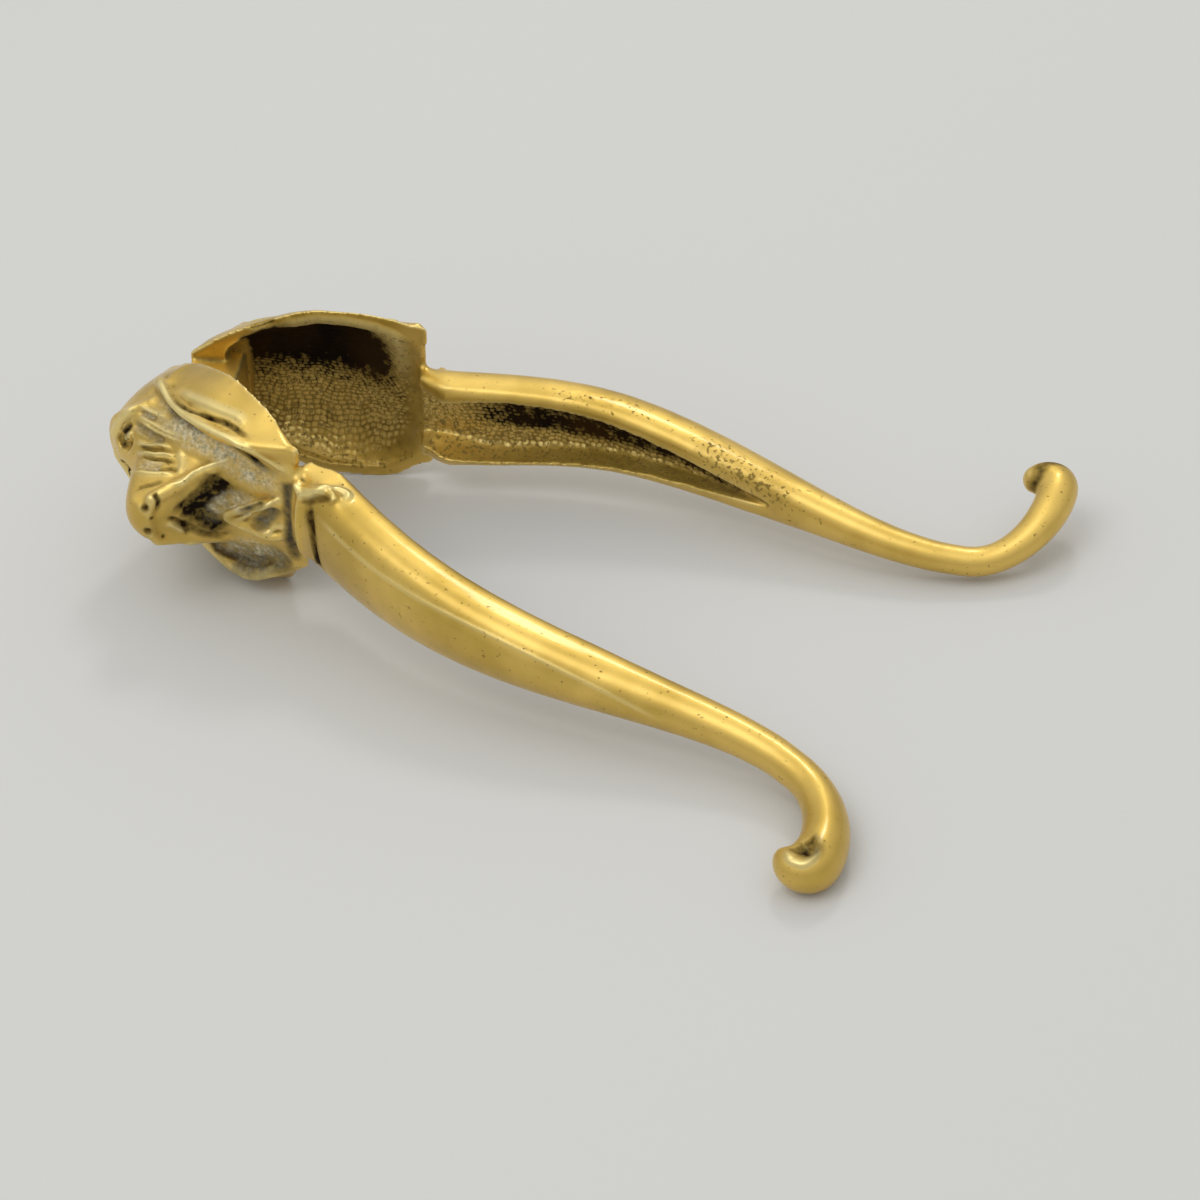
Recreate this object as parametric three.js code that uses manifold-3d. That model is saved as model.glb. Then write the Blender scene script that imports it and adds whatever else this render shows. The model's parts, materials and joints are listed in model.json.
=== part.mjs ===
// Cast-brass lever nutcracker in the shape of a dog's head, lying open on a table.
// Two hollow castings turn on one pin: a forked arm and an arm with a tongue.
// Each casting is half a head with its face outward, a channelled handle and a scroll.
// Sizes are in millimetres and angles in degrees, with +Z up.
//
// An arm is drawn in its own frame: x runs from the crown towards the scroll, along the
// rim of the nut cup, y points out of the rim plane towards the face, and z is along the pin.

import * as THREE from "three";
import { mergeVertices } from "three/addons/utils/BufferGeometryUtils.js";
import Module from "manifold-3d";

const wasm = await Module();
wasm.setup();

// Head
const headLength = 38.8;
const headHalfHeight = 16.7;
const foreheadDepth = 15.3;
const forkCrownFullness = 2.3;
const forkCheekFullness = 1.7;
const tongueFullness = 1.65;
const forkTuck = 0.42;
const tongueTuck = 0.16;
const tuckStart = 0.82;
const crownEnd = 0.12;
const cheekStart = 0.42;
const tongueRelief = 0.62;
const wall = 1.3;

// Nut cup, measured from the crown along the rim
const cupStart = 5.8;
const cupEnd = 37.4;
const cupDepth = 10;
const cupFullness = 2;
const shoulderFullness = 0.14;

// Ears: flaps on both cheeks with a rolled edge, ending in a tip by the collar
const earStart = 3.8;
const earWidth = 7.8;
const forkEarDrop = 4.2;
const tongueEarDrop = 6.4;
const tongueEarSink = 2.4;
const earThickness = 2.6;
const earLift = 0.35;
const earRollRadius = 1.1;
const earTipPastHead = 0.4;

// Face: places from the crown along the rim, out from the rim and to the side of the midline
const browStops = [[10.2, 9.3], [8, 7.4], [5.4, 5], [3.6, 2.4]];
const browRadius = 1.1;
const browSink = 0.3;
const eyeAlong = 8.6;
const eyeAside = 4;
const eyeRadius = 1.6;
const eyeSink = 1.2;
const socketHalf = [2.2, 2.3, 2.7];
const socketRise = 1.4;
const muzzleBase = 4.5;
const muzzleReach = 20.8;
const muzzleTopAtBase = 9;
const muzzleTopAtNose = 19.6;
const lipAtBase = 30.2;
const lipAtNose = 24.8;
const muzzleHalfWidth = 8.6;
const noseHalfWidth = 3.5;
const nosePlace = [22.2, 19.7, 0];
const noseHalf = [3.1, 2, 3.8];
const lipRadius = 1.2;
const lipCorner = 45;
const lipEnd = 0.88;
const mouthPlace = [26, 10.4, 0];
const mouthHalf = [2.7, 7.6, 6.6];
const mouthSlope = 26;
const hollowPlace = [29.6, 11.4, 0];
const hollowHalf = [2.2, 5.4, 4.8];

// Bow at the throat, collar band and the curl where the handle starts
const bowPlace = [35.2, 6.2, 1.2];
const bowHalfLength = 5.2;
const bowHalfWidth = 3.4;
const bowRadius = 0.8;
const bowSlope = -46;
const bowShape = [[0, 0], [0.35, 0.62], [0.7, 1], [1, 0.7]];
const clothSink = 0.35;
const clothDepth = 3;
const collarPlace = 3.6;
const collarLean = 1.4;
const collarReach = 58;
const collarRadius = 0.8;
const curlRadius = 0.9;
const curlStops = [[-0.4, 76], [0.9, 54], [3, 56], [5.4, 72], [7.8, 82], [9.4, 76]];

// Handle: a bowed run that ends at its innermost point, then the scroll and its hooked end.
// The channel's floors are measured out from the middle of the handle
const handleRun = 88.6;
const handleBow = 25.8;
const handleSetIn = 1.5;
const handleRise = 2.3;
const handleHalfHeight = 8.5;
const handleHalfDepth = 4.6;
const rootStart = -1;
const rootThinning = 0.7;
const saddleWidth = 4.2;
const forkStemRadius = 2.8;
const forkScrollEndRadius = 3.8;
const tongueStemRadius = 2.4;
const tongueScrollEndRadius = 3.2;
const channelLength = 59;
const channelUpperEdge = 2.1;
const channelLowerEdge = 1;
const channelFloor = 0.8;
const saddleFloor = 2.2;
const saddleRun = 14;
const forkScrollRadius = 15.6;
const forkScrollTurn = 64;
const tongueScrollRadius = 12.6;
const tongueScrollTurn = 86;
const hookRadius = 2;
const hookTurn = 130;
const hookTipRadius = 2.4;
const scrollLift = 6.2;
const rootDip = 3.2;
const rootDipRun = 36;
const handleDroop = 1.5;

// Hinge: the pin's place in each casting, the lug on it and the gaps around it
const pinDiameter = 2.4;
const pinRecess = 0.3;
const pinHold = 2.9;
const forkPin = [11.2, 2.6];
const tonguePin = [4.4, -13.2];
const lugRadius = 4.2;
const tongueHalfThickness = 4.8;
const runningGap = 0.3;
const boreGap = 0.2;

// Pose on the table: half the angle between the two rims, and how far the hinge turns from it
const halfOpening = 23.2;
const closingTravel = 22;
const openingTravel = 28;
const restFlat = 0.35;

const rad = THREE.MathUtils.degToRad;
const mix = THREE.MathUtils.lerp;
const smooth = (t) => THREE.MathUtils.smoothstep(t, 0, 1);

// A smooth curve of value against place through a few stops, each [place, value]
function profile(stops) {
  const slope = stops.map((stop, i) => {
    const before = stops[Math.max(0, i - 1)];
    const after = stops[Math.min(stops.length - 1, i + 1)];
    return (after[1] - before[1]) / (after[0] - before[0]);
  });
  return (place) => {
    const last = stops.length - 2;
    const found = stops.findIndex((stop) => place < stop[0]) - 1;
    const i = found < 0 ? (place < stops[0][0] ? 0 : last) : found;
    const span = stops[i + 1][0] - stops[i][0];
    const t = THREE.MathUtils.clamp((place - stops[i][0]) / span, 0, 1);
    const rise = smooth(t);
    const lean = t * (1 - t) * (slope[i] * (1 - t) - slope[i + 1] * t) * span;
    return mix(stops[i][1], stops[i + 1][1], rise) + lean;
  };
}

// A closed skin over rings of equal count, with a fan at each end
function loft(rings) {
  const count = rings[0].length;
  const points = rings.flat();
  const middle = (ring) => ring.reduce((sum, p) => sum.add(p), new THREE.Vector3()).divideScalar(count);
  points.push(middle(rings[0]), middle(rings[rings.length - 1]));
  const faces = [];
  const lastRing = (rings.length - 1) * count;
  for (let k = 0; k < count; k += 1) {
    const next = (k + 1) % count;
    for (let r = 0; r < lastRing; r += count) {
      faces.push(r + k, r + next, r + count + next, r + k, r + count + next, r + count + k);
    }
    faces.push(points.length - 2, next, k, points.length - 1, lastRing + k, lastRing + next);
  }
  const geometry = new THREE.BufferGeometry().setFromPoints(points);
  geometry.setIndex(faces);
  return geometry;
}

// A three.js geometry as a solid that can be joined and cut, faces outward
function solid(geometry) {
  const bare = geometry.clone();
  bare.deleteAttribute("normal");
  bare.deleteAttribute("uv");
  const merged = mergeVertices(bare, 1e-4);
  const place = merged.getAttribute("position");
  const corner = [0, 1, 2].map(() => new THREE.Vector3());
  const triangles = [];
  let volume = 0;
  for (let i = 0; i < merged.index.count; i += 3) {
    const face = [0, 1, 2].map((k) => merged.index.getX(i + k));
    if (new Set(face).size < 3) continue;
    face.forEach((index, k) => corner[k].fromBufferAttribute(place, index));
    volume += corner[0].dot(corner[1].clone().cross(corner[2]));
    triangles.push(face);
  }
  const outward = volume < 0 ? triangles.map(([a, b, c]) => [a, c, b]) : triangles;
  return new wasm.Manifold(new wasm.Mesh({
    numProp: 3,
    vertProperties: new Float32Array(place.array),
    triVerts: new Uint32Array(outward.flat()),
  }));
}

function toGeometry(manifold) {
  const mesh = manifold.getMesh();
  const geometry = new THREE.BufferGeometry();
  geometry.setAttribute("position", new THREE.BufferAttribute(mesh.vertProperties, 3));
  geometry.setIndex(new THREE.BufferAttribute(mesh.triVerts, 1));
  geometry.computeVertexNormals();
  return geometry;
}

const join = (parts) => parts.map(solid).reduce((whole, part) => whole.add(part));

// A rounded lump: an ellipsoid turned about the z axis
function lump([x, y, z], [halfX, halfY, halfZ], turn = 0, sides = 12) {
  const geometry = new THREE.SphereGeometry(1, sides, Math.round(sides * 0.65));
  geometry.rotateX(Math.PI / 2);
  geometry.scale(halfX, halfY, halfZ);
  geometry.rotateZ(rad(turn));
  geometry.translate(x, y, z);
  return geometry;
}

// A round cord along a smooth curve through points
function cord(points, radius, steps) {
  const section = new THREE.Shape();
  section.absarc(0, 0, radius, 0, 2 * Math.PI);
  return new THREE.ExtrudeGeometry(section, {
    steps,
    curveSegments: 3,
    bevelEnabled: false,
    extrudePath: new THREE.CatmullRomCurve3(points),
  });
}

// A flat outline in x and y, made thick along z about the face's midline
function plate(outline, halfThickness) {
  const geometry = new THREE.ExtrudeGeometry(outline, {
    depth: 2 * halfThickness,
    curveSegments: 12,
    bevelEnabled: false,
  });
  geometry.translate(0, 0, -halfThickness);
  return solid(geometry);
}

// A round bar along the pin's line, between two heights
function bar([x, y], radius, bottom, top, sides = 24) {
  const geometry = new THREE.CylinderGeometry(radius, radius, top - bottom, sides);
  geometry.rotateX(Math.PI / 2);
  geometry.translate(x, y, (top + bottom) / 2);
  return solid(geometry);
}

const bothCheeks = (make) => [make(1), make(-1)];

// What differs between the castings: the fork's face stands out in full and its scroll is stout.
// The other is flatter with steeper ears, its scroll lifts, and its lower rim tucks in less
const forkForm = {
  relief: 1,
  lift: 0,
  earDrop: forkEarDrop,
  earSink: 0,
  lowerTuck: forkTuck,
  crownFullness: forkCrownFullness,
  cheekFullness: forkCheekFullness,
  stemRadius: forkStemRadius,
  scrollEndRadius: forkScrollEndRadius,
  scrollRadius: forkScrollRadius,
  scrollTurn: forkScrollTurn,
};
const tongueForm = {
  relief: tongueRelief,
  lift: 1,
  earDrop: tongueEarDrop,
  earSink: tongueEarSink,
  lowerTuck: tongueTuck,
  crownFullness: tongueFullness,
  cheekFullness: tongueFullness,
  stemRadius: tongueStemRadius,
  scrollEndRadius: tongueScrollEndRadius,
  scrollRadius: tongueScrollRadius,
  scrollTurn: tongueScrollTurn,
};

// Head: rim half height and face depth along the rim, as shares of their largest.
// The lower rim tucks in towards the collar
const rimShare = profile([
  [0, 0.36], [0.14, 0.58], [0.25, 0.72], [0.5, 0.97], [0.65, 1], [0.8, 0.99], [1, 0.88],
]);
const depthShare = profile([
  [0, 0.33], [0.055, 0.8], [0.1, 0.94], [0.165, 1], [0.25, 0.99],
  [0.4, 0.94], [0.56, 0.8], [0.71, 0.6], [0.86, 0.37], [1, 0.2],
]);
const tuckShare = (x) => smooth((x / headLength - tuckStart) / (1 - tuckStart));
const rimHalfHeight = (x, side, form) => (
  headHalfHeight * rimShare(x / headLength) * (side < 0 ? 1 - form.lowerTuck * tuckShare(x) : 1)
);
const faceDepth = (x) => foreheadDepth * depthShare(x / headLength);
const cheekShare = (x) => smooth((x / headLength - crownEnd) / (cheekStart - crownEnd));
const fullness = (x, form) => mix(form.crownFullness, form.cheekFullness, cheekShare(x));
const rounding = (share, power) => (1 - Math.min(1, share) ** power) ** (1 / power);

// Half a section at x: from the upper rim round the face to the lower rim
function halfSection(x, upper, lower, depth, power, sides) {
  const ring = [];
  for (let k = 0; k <= sides; k += 1) {
    const angle = Math.PI * (0.5 - k / sides);
    const out = Math.max(0, Math.cos(angle)) ** (2 / power);
    const aside = Math.abs(Math.sin(angle)) ** (2 / power);
    ring.push(new THREE.Vector3(x, depth * out, angle < 0 ? -lower * aside : upper * aside));
  }
  return ring;
}

// Height of the cheek at a place along the rim and out from it
function cheekHeight(x, y, side, form) {
  const place = Math.min(x, headLength);
  return rimHalfHeight(place, side, form) * rounding(y / faceDepth(place), fullness(place, form));
}

// How far the face stands out at a place along the rim and to the side of the midline
function faceOut(x, z, form) {
  return faceDepth(x) * rounding(Math.abs(z) / rimHalfHeight(x, z, form), fullness(x, form));
}

function headBody(form) {
  const rings = [];
  const stations = 14;
  for (let i = 0; i <= stations; i += 1) {
    const x = headLength * (i / stations) ** 1.35;
    const [upper, lower] = bothCheeks((side) => rimHalfHeight(x, side, form));
    rings.push(halfSection(x, upper, lower, faceDepth(x), fullness(x, form), 16));
  }
  return loft(rings);
}

// Nut cup: follows the head a wall inside it, with square shoulders at both ends
function nutCup(form) {
  const rings = [];
  const stations = 10;
  const proud = 0.6;
  for (let i = 0; i <= stations; i += 1) {
    const angle = Math.PI * (i / stations);
    const x = mix(cupStart, cupEnd, 0.5 - 0.5 * Math.cos(angle));
    const fill = Math.max(0.1, Math.sin(angle)) ** shoulderFullness;
    const depth = Math.min(cupDepth, faceDepth(x) - wall) * fill * form.relief;
    const [upper, lower] = bothCheeks((side) => (rimHalfHeight(x, side, form) - wall) * fill);
    const section = halfSection(x, upper, lower, depth, cupFullness, 12);
    section[0].y = -proud;
    section[section.length - 1].y = -proud;
    rings.push(section);
  }
  return solid(loft(rings));
}

// Ear flap on one cheek, from its root by the crown to the tip by the collar
const earEnd = headLength + earTipPastHead;
const earShare = profile([
  [0, 0.72], [0.11, 0.86], [0.21, 0.98], [0.37, 1.03], [0.58, 1],
  [0.73, 0.87], [0.83, 0.7], [0.92, 0.42], [1, 0.14],
]);
const earPlace = (t) => mix(earStart, earEnd, t);
function earHeight(t, y, side, form) {
  const x = earPlace(t);
  const hanging = rimHalfHeight(Math.min(x, headLength), side, form) - form.earDrop * (y / earWidth) ** 1.2;
  return Math.max(cheekHeight(x, y, side, form) - form.earSink, hanging) + earLift;
}

function earFlap(side, form) {
  const rings = [];
  const stations = 12;
  for (let i = 0; i <= stations; i += 1) {
    const t = i / stations;
    const edge = earWidth * earShare(t);
    const top = (y) => earHeight(t, y, side, form);
    const under = top(edge) - earThickness;
    const outer = [0, 0.5, 1].map((share) => [edge * share, top(edge * share)]);
    const section = [...outer, [edge * 0.8, under], [0, under]];
    rings.push(section.map(([y, z]) => new THREE.Vector3(earPlace(t), y, z * side)));
  }
  return loft(rings);
}

// The ear's rolled edge rises out of the crown and ends at the tip
function earRoll(side, form) {
  const points = [];
  const stops = 8;
  for (let i = 0; i <= stops; i += 1) {
    const t = i / stops;
    const y = earWidth * earShare(t);
    const x = earPlace(t) - earRollRadius * smooth(t);
    const sink = i === 0 ? earRollRadius : 0;
    points.push(new THREE.Vector3(x, y, (earHeight(t, y, side, form) - sink) * side));
  }
  return cord(points, earRollRadius, 14);
}

// Muzzle surface: a place from base to nose, and the angle round it from the lip's middle
function muzzlePoint(t, angle) {
  const blunt = (value, power) => Math.sign(value) * Math.abs(value) ** power;
  const top = mix(muzzleTopAtBase, muzzleTopAtNose, t ** 2.4);
  const lip = mix(lipAtBase, lipAtNose, t ** 0.8);
  const half = mix(muzzleHalfWidth, noseHalfWidth, t ** 1.3);
  const x = mix(top, lip, 0.5 + 0.5 * blunt(Math.cos(angle), 0.5));
  const z = half * blunt(Math.sin(angle), 0.6) * (0.9 + 0.25 * Math.cos(angle));
  return new THREE.Vector3(x, mix(muzzleBase, muzzleReach, t), z);
}

// Muzzle: rings across the face, widest and flattest at the lips, closing towards the nose
function muzzle() {
  const stations = 7;
  const sides = 14;
  const ring = (t) => Array.from({ length: sides }, (_, k) => muzzlePoint(t, 2 * Math.PI * (k / sides)));
  return loft(Array.from({ length: stations + 1 }, (_, i) => ring(i / stations)));
}

// Lip: one roll along the edge of the muzzle from mouth corner to mouth corner, under the nose
function lips() {
  const stops = 5;
  const edge = (side) => Array.from({ length: stops }, (_, i) => (
    muzzlePoint(lipEnd * (i / (stops - 1)), side * rad(lipCorner))
  ));
  return cord([...edge(1), ...edge(-1).reverse()], lipRadius, 18);
}

// Brow: one roll of hair over both eyes, across the forehead
function brows(form) {
  const half = (side) => browStops.map(([x, z], i) => {
    const sink = i === 0 ? browRadius : browSink;
    return new THREE.Vector3(x, faceOut(x, z * side, form) - sink, z * side);
  });
  return cord([...half(1), ...half(-1).reverse()], browRadius, 18);
}

// Bow: two straps that part from the chin and meet the collar, on the cloth between them
function bow() {
  const [placeX, placeY, placeZ] = bowPlace;
  const slope = rad(bowSlope);
  const at = (share, across, sink) => {
    const run = mix(-bowHalfLength, bowHalfLength, share);
    const x = placeX + run * Math.cos(slope) + sink * Math.sin(slope);
    const y = placeY + run * Math.sin(slope) - sink * Math.cos(slope);
    return new THREE.Vector3(x, y, placeZ + across * bowHalfWidth);
  };
  const strap = (side) => cord(bowShape.map(([share, width]) => at(share, side * width, 0)), bowRadius, 10);
  const cloth = bowShape.map(([share, width]) => {
    const half = Math.max(width, 0.1);
    return [[-half, clothSink], [half, clothSink], [half, clothDepth], [-half, clothDepth]]
      .map(([across, sink]) => at(share, across, sink));
  });
  return [...bothCheeks(strap), loft(cloth)];
}

// Handle route: the bowed run, then the arc of the scroll
const lowestX = headLength + handleRun;
const lowestY = -handleSetIn - handleBow;

function routePoint(along, form) {
  if (along <= handleRun) {
    const t = Math.max(0, along / handleRun);
    return new THREE.Vector2(headLength + along, -handleSetIn - handleBow * smooth(t ** 1.5));
  }
  const turn = (along - handleRun) / form.scrollRadius;
  const x = lowestX + form.scrollRadius * Math.sin(turn);
  return new THREE.Vector2(x, lowestY + form.scrollRadius * (1 - Math.cos(turn)));
}

const routeLength = (form) => handleRun + form.scrollRadius * rad(form.scrollTurn);

function routeNormal(along, form) {
  const step = 0.05;
  const ahead = routePoint(along + step, form).sub(routePoint(along - step, form)).normalize();
  return new THREE.Vector2(-ahead.y, ahead.x);
}

const fade = (along, from, to) => 1 - smooth((along - from) / (to - from));

// How far the route leaves the midplane: one arm starts lower, droops and lifts its scroll
function routeHeight(along, form) {
  const droop = handleDroop * smooth(along / handleRun);
  const dip = rootDip * fade(along, 0, rootDipRun);
  const rise = scrollLift * (1 - fade(along, handleRun, routeLength(form)));
  return handleRise + form.lift * (rise - droop - dip);
}

// Half height and half depth of the handle, which thins to the stem and swells along the scroll
function stemAt(along, form, half, from) {
  const swell = (form.scrollEndRadius - form.stemRadius) * (1 - fade(along, handleRun, routeLength(form)));
  return mix(form.stemRadius, half, fade(along, from, handleRun)) + swell;
}

const halfHeightAt = (along, form) => stemAt(along, form, handleHalfHeight, 0);
const halfDepthAt = (along, form) => stemAt(along, form, handleHalfDepth, 0.4 * handleRun);
const flatnessAt = (along) => fade(along, 0.9 * channelLength, 1.3 * channelLength);

// The inner side of the handle's root thins towards the rim plane over a short saddle
const innerDepthAt = (along, form) => (
  halfDepthAt(along, form) * (1 - rootThinning * fade(along, rootStart, saddleWidth))
);

// The handle's surface: round outside and flattened on the channelled inner side
function handlePoint(along, angle, form) {
  const centre = routePoint(along, form);
  const normal = routeNormal(along, form);
  const innerBend = mix(1, 0.25, flatnessAt(along));
  const side = Math.cos(angle);
  const inner = -innerDepthAt(along, form) * Math.max(0, -side) ** innerBend;
  const out = side < 0 ? inner : halfDepthAt(along, form) * side;
  const z = routeHeight(along, form) + halfHeightAt(along, form) * Math.sin(angle);
  return new THREE.Vector3(centre.x + normal.x * out, centre.y + normal.y * out, z);
}

function handleRing(along, form) {
  const sides = 14;
  return Array.from({ length: sides }, (_, k) => handlePoint(along, 2 * Math.PI * (k / sides), form));
}

function handle(form) {
  const rings = [];
  const rootSteps = 3;
  const runSteps = 15;
  const scrollSteps = 8;
  for (let i = 0; i < rootSteps; i += 1) {
    rings.push(handleRing(mix(rootStart, saddleWidth, i / rootSteps), form));
  }
  for (let i = 0; i <= runSteps; i += 1) {
    rings.push(handleRing(mix(saddleWidth, handleRun, i / runSteps), form));
  }
  for (let i = 1; i <= scrollSteps; i += 1) {
    rings.push(handleRing(mix(handleRun, routeLength(form), i / scrollSteps), form));
  }
  return loft(rings);
}

// Hooked end of the scroll: the stem curls in on itself and thins towards its tip
function scrollEnd(form) {
  const steps = 6;
  const length = routeLength(form);
  const end = routePoint(length, form);
  const inward = routeNormal(length, form);
  const ahead = new THREE.Vector2(inward.y, -inward.x);
  return Array.from({ length: steps + 1 }, (_, i) => {
    const angle = rad(hookTurn) * (i / steps);
    const place = end.clone().addScaledVector(inward, hookRadius * (1 - Math.cos(angle)));
    place.addScaledVector(ahead, hookRadius * Math.sin(angle));
    const radius = mix(form.scrollEndRadius, hookTipRadius, (i / steps) ** 1.5);
    return lump([place.x, place.y, routeHeight(length, form)], [radius, radius, radius]);
  });
}

// Collar: a half-round band across the root of the handle, under the throat
function collar(form) {
  const points = [-1, -0.5, 0, 0.5, 1].map((share) => (
    handlePoint(collarPlace - collarLean * share ** 2, rad(collarReach) * share, form)
  ));
  return cord(points, collarRadius, 10);
}

// Channel in the back of the handle: it leaves the cup over a low saddle and runs out to a point
function channel(form) {
  const rings = [];
  const stations = 16;
  const proud = 2;
  const start = cupEnd - headLength - runningGap;
  for (let i = 0; i <= stations; i += 1) {
    const along = mix(start, channelLength, i / stations);
    const centre = routePoint(along, form);
    const normal = routeNormal(along, form);
    const close = Math.max(0.06, 1 - (i / stations) ** 3) ** 0.6;
    const open = close * mix(0.84, 1, smooth(along / saddleRun));
    const inner = -halfDepthAt(along, form);
    const floor = mix(inner, mix(saddleFloor, channelFloor, smooth(along / saddleRun)), close);
    const section = [[inner - proud, 1], [mix(inner, floor, 0.6), 0.94], [floor, 0.8]];
    const wallAt = (edge) => Math.max(0.4, halfHeightAt(along, form) - edge) * open;
    const upper = section.map(([out, share]) => [out, share * wallAt(channelUpperEdge)]);
    const lower = section.map(([out, share]) => [out, -share * wallAt(channelLowerEdge)]).reverse();
    rings.push([...upper, ...lower].map(([out, z]) => new THREE.Vector3(
      centre.x + normal.x * out,
      centre.y + normal.y * out,
      z + routeHeight(along, form),
    )));
  }
  return solid(loft(rings));
}

// Curl of hair that leaves the upper ear's tip and lies along the edge of the handle
function curl() {
  const points = curlStops.map(([along, angle]) => handlePoint(along, rad(angle), forkForm));
  return cord(points, curlRadius, 14);
}

// One casting before its hinge is made
function casting(form, curls) {
  const inRelief = (forms) => join(forms.map((part) => part.clone().scale(1, form.relief, 1)));
  const eyeOut = faceOut(eyeAlong, eyeAside, form) - eyeSink;
  const eye = (side) => lump([eyeAlong, eyeOut, eyeAside * side], [eyeRadius, eyeRadius, eyeRadius], 0, 8);
  const socket = (side) => lump([eyeAlong, eyeOut + socketRise, eyeAside * side], socketHalf, 0, 10);
  const face = inRelief([
    headBody(form),
    muzzle(),
    lips(),
    brows(form),
    lump(nosePlace, noseHalf),
    lump(mouthPlace, mouthHalf, mouthSlope),
  ]).subtract(inRelief([...bothCheeks(socket), lump(hollowPlace, hollowHalf, mouthSlope)]));
  const features = inRelief([
    ...bothCheeks(eye),
    ...bothCheeks((side) => earFlap(side, form)),
    ...bothCheeks((side) => earRoll(side, form)),
    ...bow(),
  ]);
  const grip = join([handle(form), ...scrollEnd(form), collar(form), ...curls]);
  return face.add(features).add(grip).subtract(nutCup(form)).subtract(channel(form));
}

// The pin goes in from the lower cheek and stops inside the boss of the upper one
const pinTop = tongueHalfThickness + runningGap + pinHold;
const pinBottom = pinRecess - cheekHeight(...forkPin, -1, forkForm);
const bore = (place, top) => bar(place, pinDiameter / 2 + boreGap, -2 * headHalfHeight, top);

// The way the tongue leaves the pin, in the fork's frame, for an angle between the rims
const tongueWay = (opening) => new THREE.Vector2(-Math.sin(rad(opening)), -Math.cos(rad(opening)));

// Slot in the fork: all that the tongue sweeps between its two limits
function forkSlot() {
  const reach = 40;
  const half = lugRadius + runningGap;
  const centre = new THREE.Vector2(...forkPin);
  const from = 2 * halfOpening - closingTravel;
  const to = 2 * halfOpening + openingTravel;
  const steps = 4;
  const at = (way, out, across) => new THREE.Vector2(
    centre.x + way.x * out - way.y * across,
    centre.y + way.y * out + way.x * across,
  );
  const corners = [at(tongueWay(from), 0, half)];
  for (let i = 0; i <= steps; i += 1) {
    const way = tongueWay(mix(from, to, i / steps));
    corners.push(at(way, reach, i === 0 ? half : i === steps ? -half : 0));
  }
  corners.push(at(tongueWay(to), 0, -half));
  const halfThickness = tongueHalfThickness + runningGap;
  const round = bar(forkPin, half, -halfThickness, halfThickness);
  return plate(new THREE.Shape(corners), halfThickness).add(round);
}

function forkArm() {
  const bosses = bar(forkPin, lugRadius, pinBottom + wall / 2, -pinBottom - wall / 2);
  const drilled = bore(forkPin, pinTop + boreGap);
  return casting(forkForm, [curl()]).add(bosses).subtract(forkSlot()).subtract(drilled);
}

// Tongue: a flat lug that stands in front of the rim and carries the pin
function tongueArm() {
  const [x, y] = tonguePin;
  const seat = 3;
  const outline = new THREE.Shape();
  outline.moveTo(x + lugRadius, seat);
  outline.lineTo(x - lugRadius, seat);
  outline.lineTo(x - lugRadius, y);
  outline.absarc(x, y, lugRadius, Math.PI, 2 * Math.PI);
  outline.closePath();
  const lug = plate(outline, tongueHalfThickness);
  return casting(tongueForm, []).add(lug).subtract(bore(tonguePin, 2 * headHalfHeight));
}

// The two castings on the pin, which stands at the middle of the turning group
const brass = (color, roughness) => new THREE.MeshStandardMaterial({ color, roughness, metalness: 1 });

function hung(name, manifold, [pinX, pinY], color) {
  const geometry = toGeometry(manifold);
  geometry.translate(-pinX, -pinY, 0);
  const mesh = new THREE.Mesh(geometry, brass(color, 0.38));
  mesh.name = name;
  return mesh;
}

const fork = hung("fork_arm", forkArm(), forkPin, 0xb8934a);
const forkSide = new THREE.Group();
forkSide.rotation.z = -rad(halfOpening);
forkSide.scale.y = -1;
forkSide.add(fork);

const tongue = hung("tongue_arm", tongueArm(), tonguePin, 0xb8934a);
const tongueSide = new THREE.Group();
tongueSide.rotation.z = rad(halfOpening);
tongueSide.add(tongue);

const pin = hung("hinge_pin", bar([0, 0], pinDiameter / 2, pinBottom, pinTop), [0, 0], 0xa5823f);
forkSide.add(pin);

// The arms lie on the table on their heads and scrolls: their plane tips until both touch
const corners = [fork, tongue].flatMap((arm) => {
  arm.parent.updateMatrixWorld(true);
  const place = arm.geometry.getAttribute("position");
  const at = (i) => new THREE.Vector3().fromBufferAttribute(place, i).applyMatrix4(arm.matrixWorld);
  return Array.from({ length: place.count }, (_, i) => at(i));
});
const heads = corners.filter((corner) => corner.x < headLength);
const scrolls = corners.filter((corner) => corner.x >= headLength);
const lowest = (group, tip) => Math.min(...group.map((p) => p.z * Math.cos(tip) - p.x * Math.sin(tip)));
let slope = 0;
for (let i = 0; i < 8; i += 1) {
  slope -= (lowest(heads, slope) - lowest(scrolls, slope)) / handleRun;
}
const arms = new THREE.Group();
arms.rotation.y = slope;
arms.add(forkSide, tongueSide);

const nutcracker = new THREE.Group();
nutcracker.name = "dog_nutcracker";
nutcracker.add(arms);
nutcracker.updateMatrixWorld(true);

// Worn flats where the castings lie on the table
const box = new THREE.Box3().setFromObject(nutcracker, true);
for (const arm of [fork, tongue]) {
  const size = 400;
  const table = new THREE.BoxGeometry(size, size, size);
  table.translate(0, 0, box.min.z + restFlat - size / 2);
  table.applyMatrix4(arm.matrixWorld.clone().invert());
  arm.geometry = toGeometry(solid(arm.geometry).subtract(solid(table)));
}

// Origin under the middle of the open nutcracker, on the table
const worn = new THREE.Box3().setFromObject(nutcracker, true);
const middle = worn.getCenter(new THREE.Vector3());
arms.position.set(-middle.x, -middle.y, -worn.min.z);

export default nutcracker;
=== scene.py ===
import json
import math

import bpy
import numpy as np
from mathutils import Matrix, Vector
from mathutils.bvhtree import BVHTree
from mathutils.kdtree import KDTree


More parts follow.
